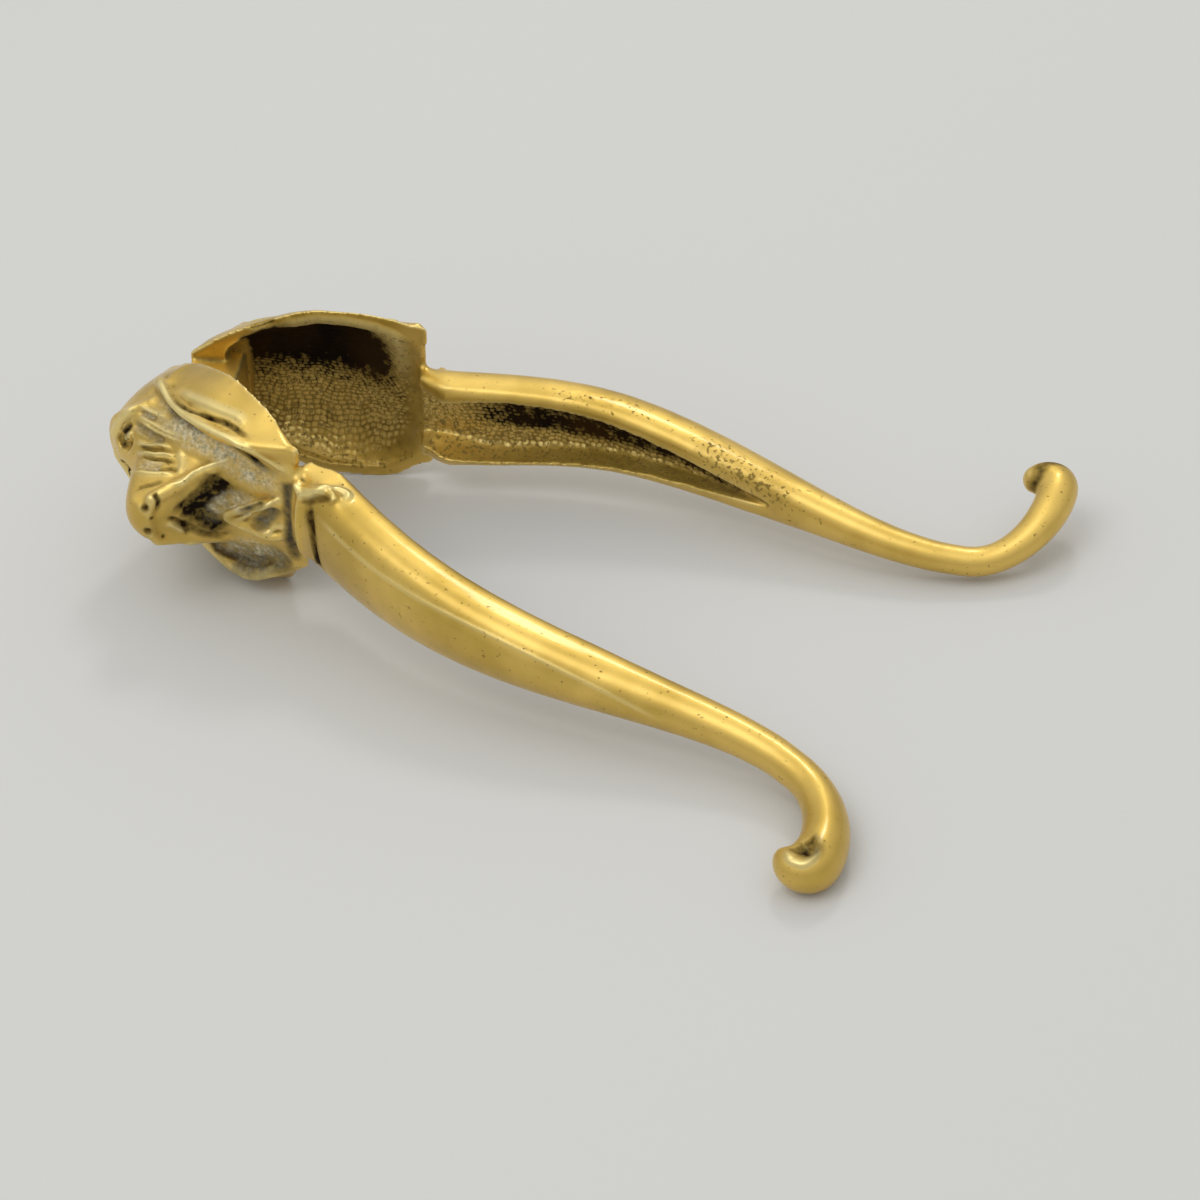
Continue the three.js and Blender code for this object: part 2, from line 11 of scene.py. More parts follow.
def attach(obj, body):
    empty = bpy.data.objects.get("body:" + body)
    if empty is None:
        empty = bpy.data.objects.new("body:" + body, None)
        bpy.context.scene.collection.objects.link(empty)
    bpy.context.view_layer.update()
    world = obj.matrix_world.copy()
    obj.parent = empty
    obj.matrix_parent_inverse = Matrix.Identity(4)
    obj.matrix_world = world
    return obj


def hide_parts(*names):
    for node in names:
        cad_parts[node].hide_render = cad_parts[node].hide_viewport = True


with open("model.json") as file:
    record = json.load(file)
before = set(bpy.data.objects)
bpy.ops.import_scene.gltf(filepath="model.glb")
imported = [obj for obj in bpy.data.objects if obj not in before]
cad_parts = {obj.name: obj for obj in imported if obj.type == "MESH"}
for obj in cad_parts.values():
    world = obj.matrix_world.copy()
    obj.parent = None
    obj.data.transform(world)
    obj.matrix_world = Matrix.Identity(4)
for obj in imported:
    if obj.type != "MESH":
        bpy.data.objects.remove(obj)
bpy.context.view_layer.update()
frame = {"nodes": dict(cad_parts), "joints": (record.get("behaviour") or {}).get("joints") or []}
print("frame loaded:", ", ".join(sorted(frame["nodes"])))

mm = 0.001
cupEnd = 38  # mm along an arm, where the nut cup gives way to the neck and the handle's channel
hinge = frame["joints"][0]
hingePlace = np.array(hinge["pos_m"]) / mm
armSlope = math.atan2(hinge["axis"][0], hinge["axis"][2])
armTilt = np.array(Matrix.Rotation(armSlope, 3, "Y"))


# Arm frames: x from the crown along the rim, y out towards the face, z along the pin, in mm

def armMatrix(arm):
    turned = armTilt @ np.array(Matrix.Rotation(math.radians(arm["turn"]), 3, "Z"))
    return turned @ np.diag([1, arm["flip"], 1])


def toArm(arm, places):
    pin = np.array([arm["pin"][0], arm["pin"][1], 0])
    return (places / mm - hingePlace) @ armMatrix(arm) + pin


def toRow(arm, places):
    pin = np.array([arm["pin"][0], arm["pin"][1], 0])
    return ((places - pin) @ armMatrix(arm).T + hingePlace) * mm


def smoothStep(value, low, high):
    t = np.clip((value - low) / (high - low), 0, 1)
    return t * t * (3 - 2 * t)


# Materials

def linear(hexText):
    channels = [int(hexText[i:i + 2], 16) / 255 for i in (1, 3, 5)]
    return [c / 12.92 if c <= 0.04045 else ((c + 0.055) / 1.055) ** 2.4 for c in channels] + [1]


def addNode(tree, kind, inputs=None, **settings):
    node = tree.nodes.new(kind)
    for key, value in settings.items():
        setattr(node, key, value)
    for key, value in (inputs or {}).items():
        if isinstance(value, bpy.types.NodeSocket):
            tree.links.new(value, node.inputs[key])
        else:
            node.inputs[key].default_value = value
    return node.outputs


# Old cast brass: satin gold with olive clouds, pale where hands rub it and where a highlight is
# painted, near-black grime in the hollows and painted shade where shadow falls, chalky grey-green in
# the deepest ones and small dark casting pits
brass = {
    "clean": "#E4C161", "olive": "#C9A747", "rubbedAndHighlit": "#F3DF96",
    "blackGrimeAndShade": "#170E05", "brownGrimeAndShade": "#38240B", "chalkShade": "#9C9575", "chalk": "#EADDB8",
    "cloudSize": 13, "patchSize": 1.6, "pitSize": 0.7, "chalkSize": 0.6, "bumpDepth": 0.25,  # mm
    "waxRoughness": 0.12,
}


# Sockets by number: Map Range reads from 1 to 2 and gives 3 to 4, Mix blends 6 and 7 by 0
def castBrass(name):
    material = bpy.data.materials.new(name)
    material.use_nodes = True
    tree = material.node_tree
    colour = {key: linear(value) for key, value in brass.items() if isinstance(value, str)}
    place = addNode(tree, "ShaderNodeTexCoord")["Object"]
    # the patina mark holds real grime and painted shade together
    grimeAndShade = addNode(tree, "ShaderNodeAttribute", attribute_name="patinaAndShade")["Fac"]
    green = addNode(tree, "ShaderNodeAttribute", attribute_name="verdigris")["Fac"]
    worn = addNode(tree, "ShaderNodeAttribute", attribute_name="worn")["Fac"]
    coarse = addNode(tree, "ShaderNodeAttribute", attribute_name="coarse")["Fac"]

    noises = []
    for size, detail in (("cloudSize", 3), ("patchSize", 5), ("pitSize", 2), ("chalkSize", 3)):
        inputs = {"Vector": place, "Scale": 1 / (brass[size] * mm), "Detail": detail}
        noises.append(addNode(tree, "ShaderNodeTexNoise", inputs)["Fac"])
    broad, fine, pits, chalk = noises

    # clean metal, rubbed metal, which also paints a highlight on the cup's rim
    clouds = addNode(tree, "ShaderNodeMapRange", {"Value": broad, 1: 0.4, 2: 0.65})["Result"]
    tint = addNode(tree, "ShaderNodeMix", {0: clouds, 6: colour["clean"], 7: colour["olive"]},
                   data_type="RGBA")[2]
    tint = addNode(tree, "ShaderNodeMix", {0: worn, 6: tint, 7: colour["rubbedAndHighlit"]},
                   data_type="RGBA")[2]

    # grime and casting pits; the same dark brown also paints shade
    patchy = addNode(tree, "ShaderNodeMapRange",
                     {"Value": fine, 1: 0.3, 2: 0.7, 3: 0.6, 4: 1.2})["Result"]
    dirtAndShade = addNode(tree, "ShaderNodeMath", {0: grimeAndShade, 1: patchy},
                   operation="MULTIPLY", use_clamp=True)[0]
    pitted = addNode(tree, "ShaderNodeMath", {0: coarse, 1: 0.13, 2: pits},
                     operation="MULTIPLY_ADD")[0]
    dots = addNode(tree, "ShaderNodeMapRange",
                   {"Value": pitted, 1: 0.66, 2: 0.76, 4: 0.6})["Result"]
    dirtAndShade = addNode(tree, "ShaderNodeMath", {0: dirtAndShade, 1: dots}, operation="MAXIMUM")[0]
    brown = addNode(tree, "ShaderNodeMix",
                    {0: clouds, 6: colour["blackGrimeAndShade"], 7: colour["brownGrimeAndShade"]},
                    data_type="RGBA")[2]
    tint = addNode(tree, "ShaderNodeMix", {0: dirtAndShade, 6: tint, 7: brown}, data_type="RGBA")[2]

    # verdigris
    stipple = addNode(tree, "ShaderNodeMapRange", {"Value": chalk, 1: 0.3, 2: 0.7})["Result"]
    bloom = addNode(tree, "ShaderNodeMix",
                    {0: stipple, 6: colour["chalkShade"], 7: colour["chalk"]},
                    data_type="RGBA")[2]
    mottled = addNode(tree, "ShaderNodeMapRange",
                      {"Value": fine, 1: 0.36, 2: 0.62, 3: 0.3, 4: 1.15})["Result"]
    greened = addNode(tree, "ShaderNodeMath", {0: green, 1: mottled},
                      operation="MULTIPLY", use_clamp=True)[0]
    tint = addNode(tree, "ShaderNodeMix", {0: greened, 6: tint, 7: bloom}, data_type="RGBA")[2]

    # dirt and painted shade dull the metal and its wax
    dull = addNode(tree, "ShaderNodeMath", {0: dirtAndShade, 1: greened}, operation="MAXIMUM")[0]
    metal = addNode(tree, "ShaderNodeMapRange", {"Value": dull, 3: 0.9, 4: 0.2})["Result"]
    rough = addNode(tree, "ShaderNodeMapRange", {"Value": dull, 3: 0.44, 4: 0.85})["Result"]
    wax = addNode(tree, "ShaderNodeMapRange", {"Value": dull, 2: 0.5, 3: 0.45, 4: 0.0})["Result"]
    gleam = addNode(tree, "ShaderNodeMapRange", {"Value": dull, 3: 0.5, 4: 0.1})["Result"]
    grain = addNode(tree, "ShaderNodeMapRange", {"Value": coarse, 3: 0.12, 4: 1.0})["Result"]
    height = addNode(tree, "ShaderNodeMath", {0: fine, 1: grain}, operation="MULTIPLY")[0]
    relief = {"Strength": 0.7, "Distance": brass["bumpDepth"] * mm, "Height": height}
    bump = addNode(tree, "ShaderNodeBump", relief)["Normal"]

    shader = tree.nodes["Principled BSDF"]
    shader.inputs["Coat Roughness"].default_value = brass["waxRoughness"]
    tree.links.new(tint, shader.inputs["Base Color"])
    tree.links.new(metal, shader.inputs["Metallic"])
    tree.links.new(rough, shader.inputs["Roughness"])
    tree.links.new(wax, shader.inputs["Coat Weight"])
    tree.links.new(gleam, shader.inputs["Specular IOR Level"])
    tree.links.new(bump, shader.inputs["Normal"])
    return material


# Casting skin: the solid merged, remeshed fine and eased, with its sharp forms kept

def applyModifier(kind, **settings):
    modifier = bpy.context.object.modifiers.new(kind.lower(), kind)
    for key, value in settings.items():
        setattr(modifier, key, value)
    bpy.ops.object.modifier_apply(modifier=modifier.name)


def copySolid(name, node):
    mergeGap = 0.002  # mm
    made = bpy.data.objects.new(name, frame["nodes"][node].data.copy())
    bpy.context.scene.collection.objects.link(made)
    bpy.ops.object.select_all(action="DESELECT")
    bpy.context.view_layer.objects.active = made
    made.select_set(True)
    bpy.ops.object.mode_set(mode="EDIT")
    bpy.ops.mesh.select_all(action="SELECT")
    bpy.ops.mesh.remove_doubles(threshold=mergeGap * mm)
    bpy.ops.mesh.normals_make_consistent(inside=False)
    bpy.ops.object.mode_set(mode="OBJECT")
    made.data.materials.clear()
    return made


def readSkin(skin, arm):
    count = len(skin.data.vertices)
    places = np.empty(count * 3)
    normals = np.empty(count * 3)
    skin.data.vertices.foreach_get("co", places)
    skin.data.vertices.foreach_get("normal", normals)
    return toArm(arm, places.reshape(-1, 3)), normals.reshape(-1, 3) @ armMatrix(arm)


def writeSkin(skin, arm, places):
    skin.data.vertices.foreach_set("co", toRow(arm, places).ravel())
    skin.data.update()


def meshEdges(skin):
    edges = np.empty(len(skin.data.edges) * 2, np.int64)
    skin.data.edges.foreach_get("vertices", edges)
    return edges.reshape(-1, 2)


# Averages values over the neighbours of each point, round after round
def spread(values, edges, rounds):
    count = len(values)
    degree = np.maximum(1, np.bincount(edges.ravel(), minlength=count))
    for _ in range(rounds):
        columns = []
        for column in values.reshape(count, -1).T:
            columns.append((np.bincount(edges[:, 0], column[edges[:, 1]], count)
                            + np.bincount(edges[:, 1], column[edges[:, 0]], count)) / degree)
        values = np.stack(columns, 1).reshape(values.shape)
    return values


# Smooth passes as factor and rounds: two light ones, then two heavy ones. Twice one pass less the
# next rounds the facets off and keeps the size
easePasses = ((1.2, 17), (1.2, 17), (1.5, 90), (1.5, 106))


def castSkin(arm):
    keepBlur, keepGain = 36, 1.6
    skin = copySolid(arm["name"], arm["node"])
    applyModifier("REMESH", mode="VOXEL", voxel_size=arm["grain"] * mm, use_smooth_shade=True)
    stages = []
    for factor, rounds in easePasses:
        applyModifier("SMOOTH", factor=factor, iterations=rounds)
        stages.append(readSkin(skin, arm)[0])
    crisp = 2 * stages[0] - stages[1]
    eased = 2 * stages[2] - stages[3]
    lost = np.linalg.norm(eased - crisp, axis=1)  # mm that the heavy passes take from a form
    onHandle = smoothStep(crisp[:, 0], 42, 48)
    keep = smoothStep(lost, 0.1 + 0.05 * onHandle, 0.22 + 0.13 * onHandle)
    for spot in arm["blended"]:
        away = np.linalg.norm(crisp - np.array(spot[:3]), axis=1)
        keep *= smoothStep(away, 0.6 * spot[3], spot[3])
    keep = np.clip(keepGain * spread(keep, meshEdges(skin), keepBlur), 0, 1)
    writeSkin(skin, arm, eased + (crisp - eased) * keep[:, None])
    return skin


# How far each point lies below the skin around it, in mm
def hollowness(skin, arm, rounds):
    places, normals = readSkin(skin, arm)
    around = spread(places, meshEdges(skin), rounds)
    return ((around - places) * normals).sum(1)


# Strokes: paths laid on the skin that raise or cut it and leave wear, grime or verdigris. Paths,
# width and height are in mm, marks run from 0 to about 1, and a higher taper gives blunter ends

def curveThrough(points, perSpan=6):
    points = np.array(points, float)
    if len(points) < 3:
        return points
    padded = np.vstack([2 * points[0] - points[1], points, 2 * points[-1] - points[-2]])
    made = []
    for i in range(len(points) - 1):
        a, b, c, d = padded[i:i + 4]
        for t in np.linspace(0, 1, perSpan, endpoint=False):
            made.append(0.5 * (2 * b + (c - a) * t + (2 * a - 5 * b + 4 * c - d) * t ** 2
                               + (3 * b - a - 3 * c + d) * t ** 3))
    made.append(points[-1])
    return np.array(made)


def nearPath(places, path, reach):
    low, high = path.min(0) - reach, path.max(0) + reach
    near = np.flatnonzero(((places > low) & (places < high)).all(1))
    best = np.full(len(near), 1e9)
    along = np.zeros(len(near))
    for i in range(max(1, len(path) - 1)):
        a = path[i]
        b = path[min(i + 1, len(path) - 1)]
        run = b - a
        t = np.clip(((places[near] - a) @ run) / max(run @ run, 1e-9), 0, 1)
        gap = np.linalg.norm(places[near] - (a + t[:, None] * run), axis=1)
        closer = gap < best
        best[closer] = gap[closer]
        along[closer] = (i + t[closer]) / max(1, len(path) - 1)
    return near, best, along


def workSkin(places, inside, arm, marks):
    outerLimit, easyTaper, markWiden = 0.3, 1.6, 1.4
    outer = np.flatnonzero(inside < outerLimit)
    ground = KDTree(len(outer))
    for i in outer:
        ground.insert(places[i], int(i))
    ground.balance()
    shift = np.zeros(len(places))
    drawn = [(stroke, side) for stroke in arm["mirrored"] for side in (1, -1)]
    drawn += [(stroke, 1) for stroke in arm["single"]]
    for stroke, side in drawn:
        points = curveThrough(np.array(stroke["path"]) * (1, arm["relief"], side))
        path = np.array([ground.find(p)[0] for p in points])
        for _ in range(2):
            path[1:-1] = (path[:-2] + 2 * path[1:-1] + path[2:]) / 4
        width = stroke["width"]
        near, gap, along = nearPath(places, path, 2 * width)
        ends = 1 - inside[near]
        if len(path) > 1:
            taper = stroke.get("taper", easyTaper)
            ends *= np.minimum(1, np.sin(np.pi * np.clip(along, 0.02, 0.98)) * taper)
        body = np.clip(1 - (gap / width) ** 2, 0, 1) ** 2 * ends
        halo = np.clip(1 - (gap / (markWiden * width)) ** 2, 0, 1) * ends
        shift[near] += stroke.get("height", 0) * body
        for mark in marks:
            if mark in stroke:
                marks[mark][near] = np.maximum(marks[mark][near], stroke[mark] * halo)
    return shift


# The dog's head, drawn on one cheek and mirrored: brow, eye, hair tufts with the dark gaps between
# them, ears, and painted shade under the brow and beneath the ear's bead
headStrokes = [
    {"path": [(4, 14.5, 0), (5.5, 14.3, 3.4), (7.6, 13.3, 6.9), (8.6, 11.4, 8.9)],
     "width": 1.0, "height": 0.4, "worn": 0.7},
    # painted shadow under the brow
    {"path": [(8.6, 13.1, 6.2), (8.7, 14.4, 4.9), (6.8, 15.1, 1.5)],
     "width": 0.8, "height": -0.5, "patinaAndShade": 1.0},
    {"path": [(7.4, 15, 1.9), (9, 14.2, 2.8)], "width": 1.0, "height": -0.7, "patinaAndShade": 1.2},
    {"path": [(9.8, 13.9, 4.6)], "width": 0.8, "height": 0.45, "worn": 0.5},
    {"path": [(8.8, 11.4, 8.8), (11.9, 10.5, 8.9), (14.8, 9.8, 9.6)],
     "width": 0.55, "height": 0.45, "worn": 0.7},
    {"path": [(9.5, 11.5, 8.1), (11.6, 11.1, 8.3), (13.4, 10.7, 8.6)],
     "width": 0.6, "height": -0.45, "verdigris": 0.8, "patinaAndShade": 0.4},
    {"path": [(8.8, 12, 7.4), (13.2, 11.3, 7.9), (16.9, 10.6, 8.4), (20, 9.8, 9)],
     "width": 0.5, "height": 0.5, "worn": 0.7},
    {"path": [(9.5, 12.4, 7.1), (13.8, 11.7, 7.4), (16.8, 11.1, 7.8), (19.6, 10.3, 8.3)],
     "width": 0.45, "height": 0.4, "worn": 0.6},
    {"path": [(8.6, 13.1, 6.2), (11.6, 12.7, 6.5), (14.7, 12.1, 6.7), (17.3, 11.5, 7.2)],
     "width": 0.9, "height": -0.6, "patinaAndShade": 0.6, "verdigris": 0.4},
    {"path": [(11.2, 13.9, 4.5), (14.3, 13.2, 5.1), (16.5, 12, 6.3), (19, 11.4, 6.7)],
     "width": 0.5, "height": 0.45, "worn": 0.7},
    {"path": [(12.6, 13.8, 4.1), (15.9, 13.1, 5.3), (17.8, 12, 6)],
     "width": 0.4, "height": -0.4, "patinaAndShade": 0.7},
    {"path": [(12, 14.4, 2.8), (16.3, 13.8, 5), (18.1, 12.6, 5.7), (20.5, 11.5, 6.3)],
     "width": 0.5, "height": 0.45, "worn": 0.7},
    {"path": [(14.5, 15, 3.8), (17.6, 14.1, 5.1), (19.3, 13.2, 5.6), (21.4, 12.2, 6.1)],
     "width": 0.4, "height": -0.4, "patinaAndShade": 0.7},
    {"path": [(15, 16, 3.5), (18.4, 15.1, 4.9), (20.3, 14, 5.4)],
     "width": 0.8, "height": -0.4, "verdigris": 0.9},
    {"path": [(17, 16.7, 4), (20.2, 14.9, 5.1), (21.9, 13.4, 5.8), (23.5, 13, 6)],
     "width": 0.4, "height": -0.35, "patinaAndShade": 0.7},
    {"path": [(16, 17.7, 2.8), (19.6, 16.2, 4.6), (21.5, 14.9, 5.3), (23.6, 13.5, 5.8)],
     "width": 0.6, "height": 0.4, "worn": 0.6},
    {"path": [(20.5, 19.4, 3.2), (22, 17.4, 4.5), (23.4, 15.3, 5.4)],
     "width": 0.5, "height": -0.25, "patinaAndShade": 0.6},
    {"path": [(19.7, 11, 7), (22.3, 11.4, 6.5), (24, 13.2, 5.9)],
     "width": 0.9, "height": 0.25, "worn": 0.5},
    {"path": [(8.5, 8.2, 9.9), (16.2, 9.7, 9.7), (21, 9.2, 9.6), (24.6, 7.9, 9.9),
              (28.1, 6.6, 9.6), (30.2, 6, 8), (34.9, 4, 7.5), (37.9, 2.5, 8.7)],
     "width": 1.9, "height": -0.15, "verdigris": 0.95, "coarse": 0.5},
    # painted shadow along the underside of the ear's bead
    {"path": [(8.4, 7.8, 11), (12.7, 8.8, 11.2), (15.7, 8.8, 10.6), (19.6, 8.6, 10.9),
              (24, 8.2, 11.4), (29.5, 6.6, 11.4), (32.2, 5.2, 10.8), (34.4, 3.7, 9.6),
              (37.8, 2.2, 9.6)],
     "width": 0.8, "height": -0.4, "patinaAndShade": 1.1},
    {"path": [(7.3, 6.5, 11.3), (11.3, 8.2, 12), (15.8, 8.9, 12.2), (20.7, 8.9, 12.9),
              (25.8, 8.2, 13.9), (29.9, 7.1, 14.3), (33.4, 5.9, 13.6), (35, 4, 11.6),
              (37, 2.4, 10.9), (38.4, 1.8, 11)],
     "width": 0.8, "height": 0.35, "worn": 0.7, "taper": 4},
    {"path": [(10, 6.9, 12), (16, 8.2, 12.7), (20, 7.8, 13.5), (23.2, 6.6, 13.6), (27, 5.5, 14.4),
              (30, 5, 14.5), (32.4, 4.9, 14.6)],
     "width": 0.5, "height": -0.45, "patinaAndShade": 0.9, "coarse": 1.0},
    {"path": [(12, 6.4, 11.8), (17.4, 5.9, 13.3), (22.7, 5.1, 14.6), (27.4, 3.8, 15.3),
              (30, 3.7, 15.1)],
     "width": 0.9, "height": 0.3, "worn": 0.8},
]

# The fork's lips, mirrored
forkLipStrokes = [
    {"path": [(25, 15.8, 6), (26.2, 13.9, 6.2), (26.1, 12, 7), (26.5, 10.3, 7.5), (27.3, 8.1, 8),
              (28.8, 6.6, 8.8)],
     "width": 0.5, "height": 0.35, "worn": 1.0},
    # painted shade below the lip's lower edge
    {"path": [(26, 16.3, 0.3), (26.5, 14.4, 1.8), (27.4, 12.1, 4.1), (27.8, 9.9, 5.3),
              (28.3, 7.9, 6.5)],
     "width": 0.9, "height": -0.35, "patinaAndShade": 0.9},
]

# The open mouth, nostrils and tooth, the throat, the bow, the collar and the lower ear, with painted
# shade in the mouth, under the jaw, under the bow's upper strap and in the neck's groove
throatStrokes = [
    # painted shade: the five strokes below darken the mouth's hollow and paint the shadow under the
    # lower jaw
    {"path": [(26.7, 13.5, 0.1), (27.7, 10.9, 2.2), (28.6, 9, 4.4), (28.6, 7.7, 5.8)],
     "width": 2.7, "height": -0.3, "patinaAndShade": 1.15, "taper": 3},
    {"path": [(27, 14.5, -1), (27.8, 11, 1), (28.6, 8.6, 3.4), (28.8, 7.2, 6)],
     "width": 4.2, "patinaAndShade": 0.6, "taper": 3},
    {"path": [(27.2, 12.7, -2.3), (28.1, 10.5, -2.8), (28.6, 9.2, -4.2)],
     "width": 2.2, "patinaAndShade": 0.8, "taper": 3},
    {"path": [(26.5, 14.6, 1.7), (26.9, 12.8, 0.6), (27.4, 11.3, -1.3), (28.5, 8.6, -4.4)],
     "width": 2.2, "patinaAndShade": 1.1, "taper": 4},
    {"path": [(27.6, 11.6, 2.7), (28.3, 9.6, 4.2), (28.2, 8, 5.6)],
     "width": 1.8, "height": -0.2, "patinaAndShade": 1.2, "taper": 4},
    {"path": [(24.9, 20, 3.2)], "width": 0.7, "height": -0.7, "patinaAndShade": 1.0},
    {"path": [(25.3, 20.3, -1.2)], "width": 0.7, "height": -0.7, "patinaAndShade": 1.0},
    {"path": [(24.6, 18.1, 5.3), (25.8, 18.1, 4.5), (25.4, 18, 1.8)],
     "width": 0.45, "height": -0.22, "patinaAndShade": 1.0},
    {"path": [(25.6, 19.4, 1.3)], "width": 0.35, "height": -0.2, "patinaAndShade": 1.0},
    {"path": [(25.3, 17.9, -3.4)], "width": 0.35, "height": -0.2, "patinaAndShade": 1.0},
    {"path": [(25.7, 17.3, -0.7), (26, 15.8, -1.8), (26.2, 14.6, -3.7)],
     "width": 0.55, "height": 0.35, "worn": 1.0},
    {"path": [(25.7, 17, 0.3), (26.1, 15.4, -0.8), (26.3, 14.2, -2.8), (26.1, 13.9, -4.4)],
     "width": 0.5, "height": -0.45, "patinaAndShade": 1.1},
    {"path": [(28.1, 9.9, -0.8), (28.8, 8.7, 1), (31, 7.2, 2.3), (34.8, 7.4, 4.1)],
     "width": 1.5, "height": -0.1, "verdigris": 1.0, "coarse": 0.8, "taper": 3},
    {"path": [(32.8, 9.7, 0.4), (33.7, 7.2, 1.4), (36.6, 5.7, 4.4), (37.1, 3.5, 4.9),
              (38.4, 2.8, 5.9)],
     "width": 0.6, "height": 0.35, "worn": 0.8},
    # painted shadow under the bow's upper strap
    {"path": [(33.3, 9.1, 2.8), (35.2, 7.2, 4), (36.6, 5, 5.3)],
     "width": 0.6, "height": -0.3, "patinaAndShade": 1.1},
    {"path": [(35, 7.1, -0.8), (35.8, 5.1, 1.3), (38.1, 4.1, 4.7)],
     "width": 1.3, "height": -0.4, "patinaAndShade": 1.0, "verdigris": 0.35},
    {"path": [(31.7, 6, -5.3), (36.2, 5.5, -1.4), (37.2, 3.8, -0.2), (39.1, 2.8, 0.1)],
     "width": 0.7, "height": 0.3, "worn": 0.7},
    {"path": [(43.9, 1.7, 8), (45.5, 2.5, 6.1), (46.7, 3, 2.6), (46.7, 3, -1), (45.5, 2.5, -4.5)],
     "width": 1.0, "height": -0.45, "patinaAndShade": 1.2, "coarse": 1.0, "taper": 3},
    # grime and painted shade in the groove at the neck, between the bow and the collar
    {"path": [(38.2, 2.4, 9.4), (39, 3, 7), (39.4, 3.4, 4), (39.4, 3.4, 0), (39, 3, -4),
              (38.4, 2.6, -8)],
     "width": 1.0, "height": -0.2, "patinaAndShade": 0.95, "verdigris": 0.12, "coarse": 1.0, "taper": 4},
    {"path": [(26, 7.4, -10.6), (31, 5.5, -10), (35, 4, -8.5), (38, 3, -7)],
     "width": 2.4, "patinaAndShade": 0.95, "taper": 3},
    {"path": [(27.2, 6.8, -12.2), (31.4, 5.6, -11.7), (33.1, 3.8, -10.1)],
     "width": 1.8, "patinaAndShade": 1.0, "verdigris": 0.35, "coarse": 0.6, "taper": 3},
    {"path": [(25.4, 8.5, -13.3), (29.3, 7.6, -13.2), (32.2, 6.2, -13.2), (34.9, 4.7, -10.4),
              (36, 3.1, -8.3)],
     "width": 0.8, "height": 0.25, "worn": 1.0},
]

# The fork's handle: the curl at the neck, the mould seam, the rubbed ridge and the scroll's hollow
forkHandleStrokes = [
    {"path": [(39.7, 1.1, 10.2), (41, 2.1, 9.4), (42.3, 1.5, 8.9), (44.7, 0.2, 10.7),
              (46, -2.4, 10.6), (48, -2.9, 10.4), (48.9, -1.8, 10.4)],
     "width": 0.9, "height": 0.4, "worn": 0.9, "taper": 3},
    {"path": [(42.3, 2.6, 7.6), (44, 1.6, 8.6), (45.8, 0.3, 9.8), (47.4, -1.3, 10.2)],
     "width": 0.6, "height": -0.3, "patinaAndShade": 0.8},
    {"path": [(46.8, 1.8, 7.7), (55.2, 1.6, 7.1), (67.5, -0.4, 6.9), (83.8, -6.1, 6.4),
              (98.8, -13.2, 4.4), (107.3, -17.5, 2.6)],
     "width": 0.35, "height": 0.07, "worn": 0.5, "taper": 4},
    {"path": [(50.4, 0.3, 9.5), (68.4, -2.4, 8.6), (85.3, -8.5, 7.3), (97.4, -14.2, 5.9)],
     "width": 2.2, "height": 0.12, "taper": 3},
    {"path": [(138.7, -17.3, 4.4), (140.8, -16.7, 5.7), (141.4, -17.8, 6), (138.9, -18.4, 5.3)],
     "width": 1.4, "height": -0.7, "patinaAndShade": 0.9, "coarse": 1.0, "taper": 4},
    {"path": [(138, -15.6, 4.3), (140.7, -14.6, 5), (142.5, -15.5, 5.2), (142.6, -17.3, 5.8),
              (140.9, -19, 6)],
     "width": 0.6, "height": 0.25, "worn": 0.9},
]

# The tongue's nostrils, lips and mouth, mirrored
tongueLipStrokes = [
    {"path": [(24.6, 20, 2.2)], "width": 0.7, "height": -0.7, "patinaAndShade": 1.0},
    {"path": [(25, 15.8, 6), (26.2, 13.9, 6.2), (26.5, 10.3, 7.5), (28.8, 6.6, 8.8)],
     "width": 0.5, "height": 0.3, "worn": 0.8},
    # painted shade in the mouth and under the lip
    {"path": [(26.5, 13, 0), (27.6, 11, 3), (28.4, 8, 6)],
     "width": 2.0, "height": -0.2, "patinaAndShade": 0.9},
]

# The tongue's handle: casting pits past and above the channel, grime round its scroll; and a chip
# in the cup's rim
tongueHandleStrokes = [
    {"path": [(82.8, -18, 6.8), (88, -23, 5.2), (92, -27, 4.3), (96.2, -30, 3.5),
              (99.5, -33, 2.3)],
     "width": 2.6, "coarse": 1.25, "patinaAndShade": 0.15, "taper": 3},
    {"path": [(58, -8, 8.3), (69.4, -9.5, 8.3), (78, -13, 7.4)], "width": 1.4, "coarse": 0.7},
    {"path": [(140.3, -19, 9.3), (140.2, -21.1, 8.4), (138, -20.5, 8.7), (137.4, -23.5, 7.2),
              (136.1, -25.5, 5.8)],
     "width": 1.1, "patinaAndShade": 0.8, "coarse": 0.6},
    {"path": [(10.2, 0, 12.3), (12.5, 0, 13.1), (14.8, 0, 13.6)],
     "width": 1.0, "height": -0.55, "patinaAndShade": 0.5, "coarse": 1.0, "taper": 3},
]

